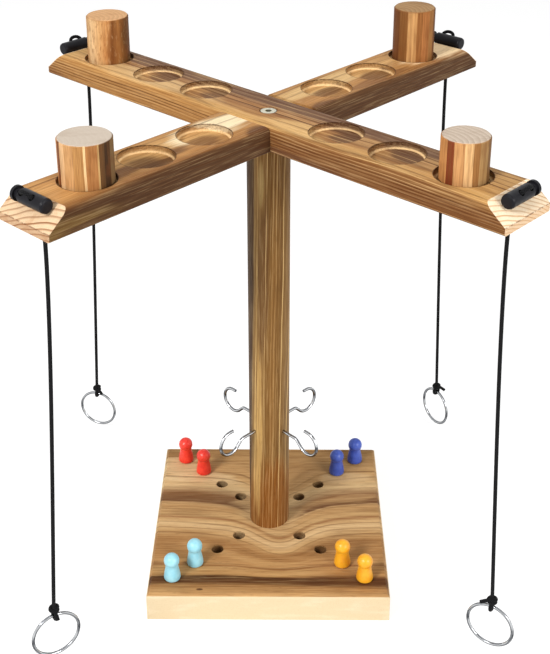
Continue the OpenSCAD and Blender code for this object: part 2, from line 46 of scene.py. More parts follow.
# Sizes of the game in metres, as the solids have them. Places along an arm are from the post's
# axis. A value that differs from corner to corner goes by front or rear and left or right.
board_half = 0.075
base_thick = 0.0195
cross_turn = math.radians(2.5)
board_angle = {"fl": -135, "fr": -45, "rl": 135, "rr": 45}
corner_angle = {c: math.radians(board_angle[c]) + cross_turn for c in corners}
arm_reach = {"fl": 0.173, "fr": 0.174, "rl": 0.1785, "rr": 0.1796}
arm_z = 0.2945
arm_top = 0.309
pocket_r = 0.0155
pocket_deep = 0.004
pocket_cove = 0.002
pocket_at = (0.051, 0.093)
pocket_in = {"fl": 0.0405, "fr": 0.039, "rl": 0.0385, "rr": 0.0436}
pocket_floor = arm_top - pocket_deep
peg_colours = {"fl": "sky", "fr": "orange", "rl": "red", "rr": "blue"}

# The arms' slanted ends, each above an upright strip, and the cord locks that lie on them
end_strip = 0.0043
end_run = 0.0125
slant = math.atan2(arm_top - arm_z - end_strip, end_run)
lock_out = {"fl": 0.0065, "fr": 0.0075, "rl": 0.0055, "rr": 0.005}
lock_r = {c: arm_reach[c] - end_run + lock_out[c] for c in corners}
lock_side = {"fl": -1, "fr": 1, "rl": -1, "rr": 1}
barrel_r = 0.004
lock_rest = 0.0005
lock_z = {c: arm_top - lock_out[c] * math.tan(slant) + (barrel_r + lock_rest) / math.cos(slant)
          for c in corners}

# The cords: the side of its lock on which each hangs, the gap between the loop's two legs, and
# how far the hanging stretch leans out and bows
cord_d = 0.0022
hang_side = {"fl": -1, "fr": -1, "rl": 1, "rr": -1}
leg_gap = 0.008
leg_drop = barrel_r + lock_rest
loop_rise = 0.0022
drop_r = {c: lock_r[c] - leg_drop * math.sin(slant) for c in corners}
drop_lean = {"fl": 0.015, "fr": 0.010, "rl": 0.014, "rr": 0.012}
drop_bow = 0.002
drop_skew = 1.2
drop_top = arm_z - 0.00045

# The knots and rings: each knot's height, the turn of its ring's wire, and how its tail turns and
# droops, in degrees
knot_z = {"fl": 0.064, "fr": 0.060, "rl": 0.036, "rr": 0.036}
knot_d = 0.006
ring_wire_d = 0.0018
knot_above = knot_d / 2 + ring_wire_d / 2 + 0.0003
ring_turn = {"fl": 32, "fr": -32, "rl": -18, "rr": -58}
tail_turn = {"fl": -60, "fr": 190, "rl": -50, "rr": -20}
tail_droop = {"fl": 35, "fr": 5, "rl": 24, "rr": 24}


# ---------------------------------------------------------------- camera

# The photograph's camera as fitted to it: its turn, pitch and roll in degrees, its place in
# metres, its lens and sensor in millimetres, and the row of pixels that its axis meets
camera_turns = (-0.4076, 24.4651, -0.0119)
camera_place = (0.00845, -0.66108, 0.55951)
camera_lens = 67.91
sensor_side = 36
photo_high = 654
axis_row = 190


def set_camera():
    data = bpy.data.cameras.new("camera")
    camera = bpy.data.objects.new("camera", data)
    bpy.context.scene.collection.objects.link(camera)
    yaw, pitch, roll = (math.radians(a) for a in camera_turns)
    forward = Vector((math.sin(yaw) * math.cos(pitch), math.cos(yaw) * math.cos(pitch),
                      -math.sin(pitch)))
    level = Vector((math.cos(yaw), -math.sin(yaw), 0))
    above = level.cross(forward)
    right = level * math.cos(roll) + above * math.sin(roll)
    up = above * math.cos(roll) - level * math.sin(roll)
    turn = Matrix((right, up, -forward)).transposed().to_4x4()
    camera.matrix_world = Matrix.Translation(camera_place) @ turn
    data.sensor_width = sensor_side
    data.lens = camera_lens
    data.shift_y = (axis_row - photo_high / 2) / photo_high
    data.clip_start = 0.01
    bpy.context.scene.camera = camera


set_camera()


# ---------------------------------------------------------------- materials: tools

class Nodes:
    """Short ways to add nodes to a material or to the sky"""

    def __init__(self, tree):
        self.nodes = tree.nodes
        self.links = tree.links
        self.place = 0

    def add(self, kind, **settings):
        node = self.nodes.new(kind)
        self.place += 1
        node.location = (-220 * (self.place % 9) - 200, 260 * (self.place // 9) - 400)
        for key, value in settings.items():
            setattr(node, key, value)
        return node

    def put(self, socket, value):
        if hasattr(value, "is_output"):
            self.links.new(value, socket)
        else:
            socket.default_value = value

    def sum(self, operation, *values, clamp=False):
        node = self.add("ShaderNodeMath", operation=operation, use_clamp=clamp)
        for socket, value in zip(node.inputs, values):
            self.put(socket, value)
        return node.outputs[0]

    def hypot(self, a, b):
        squares = [self.sum("MULTIPLY", side, side) for side in (a, b)]
        return self.sum("SQRT", self.sum("ADD", *squares))

    def vector(self, operation, a, b=(0, 0, 0)):
        node = self.add("ShaderNodeVectorMath", operation=operation)
        self.put(node.inputs[0], a)
        self.put(node.inputs[1], b)
        return node.outputs["Value"] if operation == "DOT_PRODUCT" else node.outputs[0]

    def split(self, vector):
        """The outputs X, Y and Z of a vector"""
        node = self.add("ShaderNodeSeparateXYZ")
        self.put(node.inputs[0], vector)
        return node.outputs

    def from_axis(self, vector):
        """Distance from the upright axis"""
        flat = self.vector("MULTIPLY", vector, (1, 1, 0))
        return self.sum("SQRT", self.vector("DOT_PRODUCT", flat, flat))

    def spread(self, value, low, high, soft=True, to=(0, 1)):
        """The value taken from the span low to high to another one, level at its ends"""
        node = self.add("ShaderNodeMapRange", interpolation_type="SMOOTHSTEP" if soft else "LINEAR")
        self.put(node.inputs["Value"], value)
        self.put(node.inputs["From Min"], low)
        self.put(node.inputs["From Max"], high)
        self.put(node.inputs["To Min"], to[0])
        self.put(node.inputs["To Max"], to[1])
        return node.outputs["Result"]

    def mix(self, amount, first, second, blend="MIX"):
        node = self.add("ShaderNodeMix", data_type="RGBA", blend_type=blend)
        self.put(node.inputs[0], amount)
        self.put(node.inputs[6], first if hasattr(first, "is_output") else colour(first))
        self.put(node.inputs[7], second if hasattr(second, "is_output") else colour(second))
        return node.outputs[2]

    def ramp(self, value, stops, sharp=False):
        """Tones by the value: each from its stop on where they are sharp, and else blended"""
        node = self.add("ShaderNodeValToRGB")
        node.color_ramp.interpolation = "CONSTANT" if sharp else "LINEAR"
        points = node.color_ramp.elements
        while len(points) < len(stops):
            points.new(0.5)
        for point, (at, tone) in zip(points, stops):
            point.position = at
            point.color = colour(tone)
        self.put(node.inputs[0], value)
        return node.outputs[0]

    def noise(self, where, size, detail=2.0, rough=0.5, stretch=(1, 1, 1), shift=(0, 0, 0),
              output="Fac"):
        """Noise with marks of about that size in metres, longer along an axis by stretch"""
        lay = self.add("ShaderNodeMapping")
        self.put(lay.inputs["Vector"], where)
        lay.inputs["Location"].default_value = shift
        lay.inputs["Scale"].default_value = [1 / (size * s) for s in stretch]
        node = self.add("ShaderNodeTexNoise")
        self.put(node.inputs["Vector"], lay.outputs[0])
        node.inputs["Scale"].default_value = 1
        node.inputs["Detail"].default_value = detail
        node.inputs["Roughness"].default_value = rough
        return node.outputs[output]

    def draw(self, number):
        """A value from 0 to 1 that is always the same for the same number"""
        node = self.add("ShaderNodeTexWhiteNoise", noise_dimensions="1D")
        self.put(node.inputs["W"], number)
        return node.outputs["Value"]

    def seen_plainly(self):
        """1 for what the camera sees by itself, in a mirror or through glass, and else 0"""
        path = self.add("ShaderNodeLightPath").outputs
        return self.sum("MAXIMUM", path["Is Camera Ray"],
                        self.sum("MAXIMUM", path["Is Glossy Ray"], path["Is Transmission Ray"]))


class Finish(Nodes):
    """A new material, drawn by the place on its piece"""

    def __init__(self, name):
        self.material = bpy.data.materials.new(name)
        self.material.use_nodes = True
        super().__init__(self.material.node_tree)
        self.shader = self.nodes["Principled BSDF"]
        self.on_piece = self.add("ShaderNodeTexCoord").outputs["Object"]

    def relief(self, height, depth, strength=1.0):
        bump = self.add("ShaderNodeBump")
        bump.inputs["Distance"].default_value = depth
        bump.inputs["Strength"].default_value = strength
        self.put(bump.inputs["Height"], height)
        self.links.new(bump.outputs[0], self.shader.inputs["Normal"])

    def surface(self, tone, roughness, metallic=0, specular=0.5):
        """Settle the surface, and give the material"""
        self.put(self.shader.inputs["Base Color"], tone)
        self.put(self.shader.inputs["Roughness"], roughness)
        self.shader.inputs["Metallic"].default_value = metallic
        self.shader.inputs["Specular IOR Level"].default_value = specular
        return self.material


def colour(tone):
    """Colour from levels of 0 to 255 as the eye sees them. A grey stays as it is."""
    if len(tone) == 4:
        return tone
    return [(t / 255 / 12.92 if t < 10.3 else ((t / 255 + 0.055) / 1.055) ** 2.4)
            for t in tone] + [1]


def grey(level):
    """A plain level from 0 to 1, such as a strength or a light"""
    return (level, level, level, 1)


def dress(node, material):
    mesh = bpy.data.objects[node].data
    mesh.materials.clear()
    mesh.materials.append(material)


# ---------------------------------------------------------------- wood

# Through one year from 0 to 1: how dark its late wood is, and where its pale line lies
late_wood = ((0, grey(0)), (0.62, grey(0.08)), (0.82, grey(1)), (0.9, grey(0.85)), (0.96, grey(0)))
early_wood = ((0.26, grey(0)), (0.34, grey(1)), (0.42, grey(1)), (0.5, grey(0)))
oiled_specular = 0.09
fibre_tone = (150, 112, 70)
pale_fibre_tone = (240, 206, 150)
pore_tone = (64, 36, 16)
# Tones of the pockets' painted shade and painted highlight
pocket_shade_tone = (66, 38, 18)
pocket_highlight_tone = (246, 208, 152)
strip_edge_tone = (120, 80, 54)
peg_hole_shade_tone = (70, 46, 28)
block_edge_tone = (112, 70, 38)


def wood(name, lay, ring_middle, ring_step, ring_mark, line, tone_middle, zones, span, patches=(),
         wander=0.0009, cloud=0.5, dark=(84, 52, 26), light=(226, 184, 124), edge_noise=0.004,
         pale_line=None, pale_mark=0.0, bare=None, bare_tones=None, strip_top=0, pockets=(),
         holes=None, swirl=None):
    """Oiled wood. lay turns the piece so that its grain runs along X. In that turned frame the
    year rings lie round ring_middle, each ring_step wide with a dark line, and with a pale line
    too where pale_line is its tone. The broad colours, zones, lie round tone_middle, from the
    first distance of span to its last. Each patch is a place, a size, a colour and its strength.
    bare is a mask of bare cut faces, with bare_tones for them, and strip_top is the height of the
    edge across an arm's end. pockets are their places along an arm, which get painted shade on
    their rims and walls and a painted highlight at each wall's foot, holes is a mask of peg holes,
    whose walls get painted shade, and swirl bends the grain."""
    f = Finish(name)
    turn = f.add("ShaderNodeMapping")
    turn.inputs["Rotation"].default_value = lay
    f.put(turn.inputs["Vector"], f.on_piece)
    grain = turn.outputs[0]

    # The rings wander a little along the log
    slow = f.noise(grain, 0.03, detail=1, rough=0.4, stretch=(3.2, 1, 1), output="Color")
    bend = f.vector("SUBTRACT", slow, (0.5, 0.5, 0.5))
    bend = f.vector("MULTIPLY", bend, (0, wander * 4, wander * 4))
    bent = f.vector("ADD", grain, bend)
    if swirl:
        bent = swirl(f, bent)
    sides = f.split(bent)

    def distance(middle):
        return f.hypot(f.sum("SUBTRACT", sides["Y"], middle[0]),
                       f.sum("SUBTRACT", sides["Z"], middle[1]))

    # Broad colours, with ragged edges that follow the grain
    ragged = f.noise(grain, 0.006, detail=3, rough=0.6, stretch=(12, 1, 1))
    loose = f.sum("SUBTRACT", ragged, 0.5)
    shade_at = f.sum("ADD", distance(tone_middle), f.sum("MULTIPLY", loose, edge_noise))
    tone = f.ramp(f.spread(shade_at, span[0], span[1], soft=False), zones)
    tone = clouds(f, bent, cloud, dark, light, tone)
    for middle, size, patch_tone, amount in patches:
        off = f.vector("DIVIDE", f.vector("SUBTRACT", bent, middle), size)
        far = f.sum("ADD", f.vector("DOT_PRODUCT", off, off), f.sum("MULTIPLY", loose, 2.2))
        tone = f.mix(f.spread(far, 1.1, 0.35, to=(0, amount)), tone, patch_tone)

    # One dark line to each year, of uneven distance, width and strength
    uneven = f.noise(grain, 0.02, detail=1, stretch=(9, 1, 1), shift=(3, 5, 7))
    years = f.sum("ADD", f.sum("DIVIDE", distance(ring_middle), ring_step),
                  f.sum("MULTIPLY", uneven, 1.3))
    year = f.sum("FRACT", years)
    late = f.ramp(year, late_wood)
    chance = f.draw(f.sum("FLOOR", years))
    patchy = f.noise(grain, 0.011, detail=2, stretch=(7, 1, 1), shift=(5, 1, 2))
    strong = f.sum("MULTIPLY", f.spread(chance, 0, 1, soft=False, to=(0.15, 1.3)),
                   f.spread(patchy, 0.35, 0.62, to=(ring_mark * 0.45, ring_mark * 1.2)))
    tone = f.mix(f.sum("MULTIPLY", late, strong, clamp=True), tone, line)
    if pale_line:
        tone = pale_lines(f, grain, years, year, pale_line, pale_mark, tone)

    # Painted shade in the pockets, and a painted highlight at the feet of their walls
    if pockets:
        tone = pocket_shading(f, grain, ragged, pockets, tone)
    # Painted shade on the walls of the peg holes
    if holes:
        tone = f.mix(f.sum("MULTIPLY", holes(f, grain), 0.6), tone, peg_hole_shade_tone)

    # Fibres and pores
    fibre = f.noise(grain, 0.0006, detail=3, rough=0.6, stretch=(40, 1, 1))
    tone = f.mix(f.spread(fibre, 0.42, 0.68, to=(0, 0.32)), tone, fibre_tone, blend="MULTIPLY")
    tone = f.mix(f.spread(fibre, 0.5, 0.3, to=(0, 0.14)), tone, pale_fibre_tone)
    pores = f.noise(grain, 0.00045, detail=1, stretch=(14, 1, 1), shift=(1, 8, 3))
    pore = f.spread(pores, 0.66, 0.73)
    tone = f.mix(f.sum("MULTIPLY", pore, 0.35), tone, pore_tone)

    roughness = f.spread(fibre, 0.3, 0.7, to=(0.45, 0.6))
    height = f.sum("SUBTRACT", f.sum("MULTIPLY", fibre, 0.5),
                   f.sum("ADD", f.sum("MULTIPLY", pore, 0.7), f.sum("MULTIPLY", late, 0.25)))
    if bare:
        cut = bare(f, grain)
        tone = f.mix(cut, tone, bare_wood(f, grain, year, chance, bare_tones, strip_top))
        roughness = f.sum("ADD", roughness, f.sum("MULTIPLY", cut, 0.2))
    f.relief(height, 0.00012, 0.5)
    return f.surface(tone, roughness, specular=oiled_specular)


def clouds(f, bent, cloud, dark, light, tone):
    """Dark and light clouds, longer along the grain"""
    mass = f.noise(bent, 0.013, detail=3, rough=0.55, stretch=(5, 1, 1), shift=(2, 6, 4))
    tone = f.mix(f.spread(mass, 0.50, 0.68, to=(0, cloud)), tone, dark)
    return f.mix(f.spread(mass, 0.47, 0.32, to=(0, cloud * 0.7)), tone, light)


def pale_lines(f, grain, years, year, pale_line, pale_mark, tone):
    """A pale thin line in the early wood of some years, which comes and goes along the grain"""
    early = f.ramp(year, early_wood)
    fades = f.noise(grain, 0.009, detail=2, stretch=(9, 1, 1), shift=(1, 4, 8))
    shown = f.sum("MULTIPLY", early, f.spread(fades, 0.4, 0.6, to=(pale_mark * 0.3, pale_mark)))
    other_chance = f.draw(f.sum("ADD", f.sum("FLOOR", years), 37.0))
    return f.mix(f.sum("MULTIPLY", shown, f.spread(other_chance, 0.1, 0.8, soft=False)),
                 tone, pale_line)


def pocket_shading(f, grain, ragged, pockets, tone):
    """Painted shade on the pockets' rims and walls, and a painted highlight: the light line in each
    wall's rounded foot
    """
    x, y, z = f.split(grain)
    rim = None
    for along in pockets:
        reach = f.hypot(f.sum("SUBTRACT", x, along), y)
        off = f.sum("ABSOLUTE", f.sum("SUBTRACT", reach, pocket_r))
        rim = off if rim is None else f.sum("MINIMUM", rim, off)
    under = f.sum("SUBTRACT", arm_top, z)
    # Painted shade along the rims and down the walls, broken up by noise
    shade_breakup = f.noise(grain, 0.0012, detail=2, shift=(6, 2, 9))
    sharp = f.spread(f.sum("ABSOLUTE", under), 0.0009, 0.0002, to=(0.45, 0.9))
    sharp = f.sum("MULTIPLY", sharp, f.spread(shade_breakup, 0.3, 0.6, to=(0.6, 1)))
    tone = f.mix(f.sum("MULTIPLY", f.spread(rim, 0.0005, 0.0001), sharp), tone, pocket_shade_tone)

    # Painted highlight in each wall's rounded foot
    foot_from = pocket_deep - pocket_cove
    foot = f.spread(under, foot_from - 0.0004, foot_from + 0.0003)
    foot = f.sum("MULTIPLY", foot, f.spread(rim, pocket_cove - 0.0004, pocket_cove - 0.0011))
    foot = f.sum("MULTIPLY", foot, f.spread(rim, 0.0001, 0.0006, to=(0.15, 1)))
    foot = f.sum("MULTIPLY", foot, f.spread(ragged, 0.3, 0.6, to=(0.5, 0.9)))
    return f.mix(foot, tone, pocket_highlight_tone)


def bare_wood(f, grain, year, chance, bare_tones, strip_top):
    """Unoiled cut face with rings and pores. bare_tones are the pale tone, the rings' tone, the
    tone of soft clouds and the rings' strength. Below strip_top, where an arm's end has its upright
    strip, it is darker, with a broken dark line along the edge."""
    pale_tone, ring_tone, soft_tone, ring_share = bare_tones
    soft = f.noise(grain, 0.005, detail=3, stretch=(4, 1, 1))
    tone = f.mix(f.spread(soft, 0.5, 0.7, to=(0, 0.6)), pale_tone, soft_tone)
    strong = f.spread(chance, 0, 1, soft=False, to=(ring_share * 0.6, ring_share))
    tone = f.mix(f.sum("MULTIPLY", f.spread(year, 0.55, 0.92), strong), tone, ring_tone)
    tubes = f.noise(grain, 0.0004, detail=2)
    tone = f.mix(f.spread(tubes, 0.52, 0.7, to=(0, 0.3)), tone, ring_tone)
    if strip_top:
        up = f.split(grain)["Z"]
        below = f.spread(up, strip_top + 0.0001, strip_top - 0.0003, to=(0, 0.4))
        tone = f.mix(below, tone, ring_tone)
        off = f.sum("ABSOLUTE", f.sum("SUBTRACT", up, strip_top))
        broken = f.noise(grain, 0.002, detail=2, shift=(4, 2, 6))
        mark = f.sum("MULTIPLY", f.spread(off, 0.00045, 0.0001),
                     f.spread(broken, 0.4, 0.56, to=(0.1, 0.75)))
        tone = f.mix(mark, tone, strip_edge_tone)
    return tone


def arm_pockets(ahead, behind):
    """Middles of an arm's pockets along it"""
    return (pocket_at + (arm_reach[ahead] - pocket_in[ahead],)
            + tuple(-x for x in pocket_at) + (pocket_in[behind] - arm_reach[behind],))


def slanted_ends(reach_ahead, reach_behind):
    """Mask of the bare cut ends of an arm that lies along X: each end's slant and its strip"""
    skin_from, skin_to = 0.00035, 0.0001

    def mask(f, grain):
        both = None
        for way, reach in ((1, reach_ahead), (-1, reach_behind)):
            lean = (way * math.sin(slant), 0, math.cos(slant))
            edge = reach * math.sin(slant) + (arm_z + end_strip) * math.cos(slant)
            up_slant = f.vector("DOT_PRODUCT", grain, lean)
            along = f.vector("DOT_PRODUCT", grain, (way, 0, 0))
            on_slant = f.spread(up_slant, edge - skin_from, edge - skin_to)
            on_strip = f.spread(along, reach - skin_from, reach - skin_to)
            one = f.sum("MAXIMUM", on_slant, on_strip)
            both = one if both is None else f.sum("MAXIMUM", both, one)
        return both
    return mask


def from_middle(f, grain):
    """Distance from the board's middle towards its nearest side, and the height"""
    size = f.split(f.vector("ABSOLUTE", grain))
    return f.sum("MAXIMUM", size["X"], size["Y"]), size["Z"]


def board_edges(f, grain):
    """Mask of the board's bare upright sides"""
    out = from_middle(f, grain)[0]
    return f.spread(out, board_half - 0.0007, board_half - 0.0002)


def board_holes(f, grain):
    """Mask of the walls of the peg holes, below the board's top and within its edges, which get
    painted shade
    """
    out, up = from_middle(f, grain)
    deep = f.spread(up, base_thick - 0.0003, base_thick - 0.0016)
    return f.sum("MULTIPLY", deep, f.spread(out, board_half - 0.0025, board_half - 0.0035))


def board_swirl(f, where):
    """The board's grain dips towards the front round the post: a narrow dip in a wide one, which
    fades out towards the front and back edges"""
    x, y, z = f.split(where)
    side = f.sum("SUBTRACT", x, 0.007)
    square = f.sum("MULTIPLY", side, side)
    narrow = f.sum("EXPONENT", f.sum("DIVIDE", square, -0.00034))
    wide = f.sum("DIVIDE", 0.0012, f.sum("ADD", square, 0.0012))
    depth = f.sum("ADD", f.sum("MULTIPLY", narrow, 0.012), f.sum("MULTIPLY", wide, 0.010))
    front = f.spread(y, -0.066, -0.034)
    back = f.spread(y, 0.072, 0.028)
    drop = f.sum("MULTIPLY", f.sum("MULTIPLY", depth, front), back)
    joined = f.add("ShaderNodeCombineXYZ")
    for socket, value in zip(joined.inputs, (x, f.sum("ADD", y, drop), z)):
        f.put(socket, value)
    return joined.outputs[0]


def board_finish():
    """Its zones go from the front edge to the back, nearly straight, since they and the rings lie
    round a line far in front of it."""
    far_off = 2.0
    zones = [(0.00, (196, 152, 98)), (0.045, (174, 128, 78)), (0.065, (92, 56, 28)),
             (0.112, (78, 46, 22)), (0.125, (182, 136, 84)), (0.18, (184, 140, 88)),
             (0.195, (138, 92, 52)), (0.21, (190, 144, 92)), (0.28, (176, 130, 80)),
             (0.36, (168, 122, 74)), (0.40, (196, 154, 102)), (0.45, (220, 184, 134)),
             (0.49, (206, 166, 114)), (0.505, (158, 112, 70)), (0.52, (200, 160, 108)),
             (0.58, (188, 146, 96)), (0.60, (198, 158, 108)), (0.607, (112, 76, 48)),
             (0.67, (142, 102, 66)), (0.73, (226, 192, 140)), (0.80, (196, 154, 102)),
             (1.0, (160, 122, 76))]
    patches = [((-0.0425, -0.0712, base_thick), (0.0026, 0.0011, 0.02), (84, 48, 26), 0.95),
               ((0.0, 0.016, base_thick), (0.026, 0.017, 0.02), (206, 170, 120), 0.75),
               ((-0.064, 0.052, base_thick), (0.02, 0.014, 0.02), (236, 206, 156), 0.75),
               ((-0.046, 0.043, base_thick), (0.028, 0.007, 0.02), (236, 204, 154), 0.7),
               ((0.052, 0.044, base_thick), (0.022, 0.006, 0.02), (226, 192, 142), 0.6),
               ((0.055, 0.022, base_thick), (0.02, 0.004, 0.02), (196, 156, 106), 0.5),
               ((0.045, -0.058, base_thick), (0.05, 0.003, 0.02), (104, 64, 34), 0.6)]
    return wood("board wood", lay=(0, 0, 0), ring_middle=(-far_off, 0), ring_step=0.0058,
                ring_mark=0.44, line=(112, 74, 40), tone_middle=(-far_off, 0), zones=zones,
                span=(far_off - board_half, far_off + board_half), patches=patches, wander=0.0016,
                cloud=0.35, dark=(122, 84, 48), edge_noise=0.005, swirl=board_swirl,
                holes=board_holes, bare=board_edges,
                bare_tones=((228, 206, 168), (208, 174, 124), (236, 218, 186), 0.3))


def through_arm_finish():
    """Striped, with a dark band along its far side"""
    zones = [(0.0, (112, 82, 62)), (0.26, (116, 84, 62)), (0.33, (150, 106, 68)),
             (0.42, (176, 128, 80)), (0.5, (150, 104, 62)), (0.6, (172, 124, 74)),
             (0.7, (202, 154, 94)), (0.82, (214, 168, 104)), (0.868, (168, 118, 64)),
             (0.90, (146, 98, 52)), (0.95, (132, 86, 44)), (1.0, (104, 64, 32))]
    patches = [((0.148, 0.0, arm_top), (0.036, 0.032, 0.006), (204, 158, 96), 0.7),
               ((-0.088, -0.02, arm_top - 0.006), (0.095, 0.006, 0.014), (184, 134, 76), 0.65),
               ((0.085, -0.02, arm_top - 0.007), (0.10, 0.006, 0.014), (118, 74, 40), 0.7),
               # The patches at pocket_floor darken the pockets' floors: painted shade
               ((0.055, 0.003, pocket_floor), (0.013, 0.007, 0.003), (96, 66, 48), 0.8),
               ((0.097, 0.004, pocket_floor), (0.013, 0.007, 0.003), (100, 68, 50), 0.8),
               ((0.10, 0.0, arm_top), (0.05, 0.008, 0.003), (206, 162, 108), 0.5),
               ((0.035, -0.019, arm_z), (0.05, 0.006, 0.005), (92, 56, 34), 0.7),
               ((-0.105, -0.009, arm_top), (0.085, 0.010, 0.006), (224, 186, 132), 0.75),
               ((-0.155, 0.002, arm_top), (0.026, 0.020, 0.006), (214, 172, 112), 0.85),
               ((-0.047, 0.003, pocket_floor), (0.013, 0.007, 0.003), (96, 66, 50), 0.8),
               ((-0.090, 0.003, pocket_floor), (0.013, 0.006, 0.003), (104, 72, 52), 0.75),
               ((0.036, -0.010, arm_top), (0.028, 0.009, 0.005), (228, 186, 124), 0.75)]
    return wood("through arm wood", lay=(0, 0, -corner_angle["fr"]),
                ring_middle=(-0.0265, arm_z - 0.061), ring_step=0.0019, ring_mark=1.3,
                line=(92, 52, 24), tone_middle=(0.035, arm_top + 0.012), zones=zones,
                span=(0.019, 0.062), patches=patches, cloud=0.28, pale_line=(232, 190, 130),
                pale_mark=0.55, pockets=arm_pockets("fr", "rl"), strip_top=arm_z + end_strip,
                bare=slanted_ends(arm_reach["fr"], arm_reach["rl"]),
                bare_tones=((250, 228, 196), (200, 148, 96), (244, 214, 176), 0.9))


def crossed_arm_finish():
    """Lighter on top, and dark and smoother on its near side"""
    zones = [(0.0, (160, 112, 66)), (0.13, (196, 148, 92)), (0.35, (212, 166, 106)),
             (0.5, (180, 132, 80)), (0.68, (184, 132, 76)), (0.82, (140, 94, 52)),
             (0.875, (84, 52, 28)), (0.93, (60, 36, 18)), (1.0, (68, 44, 24))]
    # The first patch, the light top near the joint, is the wood's light tone with a painted sheen
    patches = [((0.042, -0.004, arm_top), (0.034, 0.012, 0.0034), (252, 230, 188), 1.0),
               ((0.092, 0.006, arm_top - 0.003), (0.034, 0.006, 0.006), (96, 60, 34), 0.75),
               # The patches at pocket_floor darken the pockets' floors: painted shade
               ((0.094, -0.001, pocket_floor), (0.014, 0.009, 0.003), (112, 74, 42), 0.75),
               ((0.054, 0.001, pocket_floor), (0.015, 0.009, 0.003), (122, 82, 46), 0.8),
               ((0.118, 0.008, arm_top), (0.022, 0.006, 0.005), (130, 88, 54), 0.7),
               ((0.155, -0.002, arm_top), (0.026, 0.018, 0.006), (202, 150, 90), 0.6),
               ((0.152, 0.02, arm_z + 0.003), (0.040, 0.006, 0.008), (128, 98, 54), 0.75),
               ((0.026, 0.02, arm_top - 0.002), (0.011, 0.010, 0.012), (80, 44, 24), 0.8),
               ((-0.028, 0.02, arm_top - 0.002), (0.012, 0.008, 0.012), (84, 50, 30), 0.7),
               ((-0.09, 0.02, arm_z + 0.004), (0.03, 0.006, 0.006), (120, 90, 48), 0.5),
               ((-0.06, -0.006, arm_top), (0.05, 0.010, 0.006), (224, 188, 132), 0.75),
               ((-0.085, 0.013, arm_top), (0.03, 0.005, 0.005), (120, 78, 46), 0.6),
               ((-0.160, 0.002, arm_top), (0.040, 0.022, 0.004), (252, 222, 176), 1.0),
               ((-0.055, -0.001, pocket_floor), (0.014, 0.009, 0.003), (108, 70, 40), 0.8),
               ((-0.098, -0.001, pocket_floor), (0.014, 0.009, 0.003), (110, 72, 42), 0.8),
               ((0.076, 0.021, arm_z + 0.006), (0.085, 0.004, 0.020), (84, 56, 34), 0.9),
               ((-0.095, 0.021, arm_z + 0.006), (0.110, 0.004, 0.020), (86, 58, 36), 0.9)]
    return wood("crossed arm wood", lay=(0, 0, -corner_angle["fl"]),
                ring_middle=(0.0286, arm_z - 0.080), ring_step=0.0024, ring_mark=0.5,
                line=(94, 56, 26), tone_middle=(-0.035, arm_top + 0.012), zones=zones,
                span=(0.019, 0.062), patches=patches, cloud=0.18, dark=(88, 54, 28),
                edge_noise=0.0014, pockets=arm_pockets("fl", "rr"), strip_top=arm_z + end_strip,
                bare=slanted_ends(arm_reach["fl"], arm_reach["rr"]),
                bare_tones=((230, 198, 160), (148, 96, 58), (208, 166, 126), 1.0))


def post_finish():
    """Its zones go from the left to the right as the front shows it"""
    zones = [(0.0, (84, 64, 46)), (0.02, (112, 86, 56)), (0.06, (158, 124, 76)),
             (0.22, (152, 116, 68)), (0.38, (128, 92, 48)), (0.52, (142, 102, 54)),
             (0.66, (130, 94, 50)), (0.8, (142, 108, 64)), (0.92, (138, 110, 72)),
             (1.0, (90, 70, 48))]
    patches = [((0.03, -0.012, 0.0), (0.05, 0.02, 0.02), (138, 80, 28), 0.7),
               ((0.09, -0.012, 0.0085), (0.075, 0.012, 0.0032), (206, 166, 102), 0.75),
               ((0.20, -0.012, 0.0065), (0.06, 0.012, 0.004), (104, 70, 42), 0.6),
               ((0.268, -0.012, 0.0085), (0.016, 0.012, 0.002), (190, 162, 104), 0.6)]
    return wood("post wood", lay=(0, math.radians(89), 0), ring_middle=(-0.01, 0.06),
                ring_step=0.0020, ring_mark=0.5, line=(84, 54, 26), tone_middle=(0.0, 0.2),
                zones=zones, span=(0.187, 0.213), patches=patches, wander=0.0008, cloud=0.1,
                dark=(96, 62, 32), light=(164, 122, 70), edge_noise=0.0016,
                pale_line=(230, 192, 130), pale_mark=1.25)


dress("base_board", board_finish())
dress("through_arm", through_arm_finish())
dress("crossed_arm", crossed_arm_finish())
dress("centre_post", post_finish())


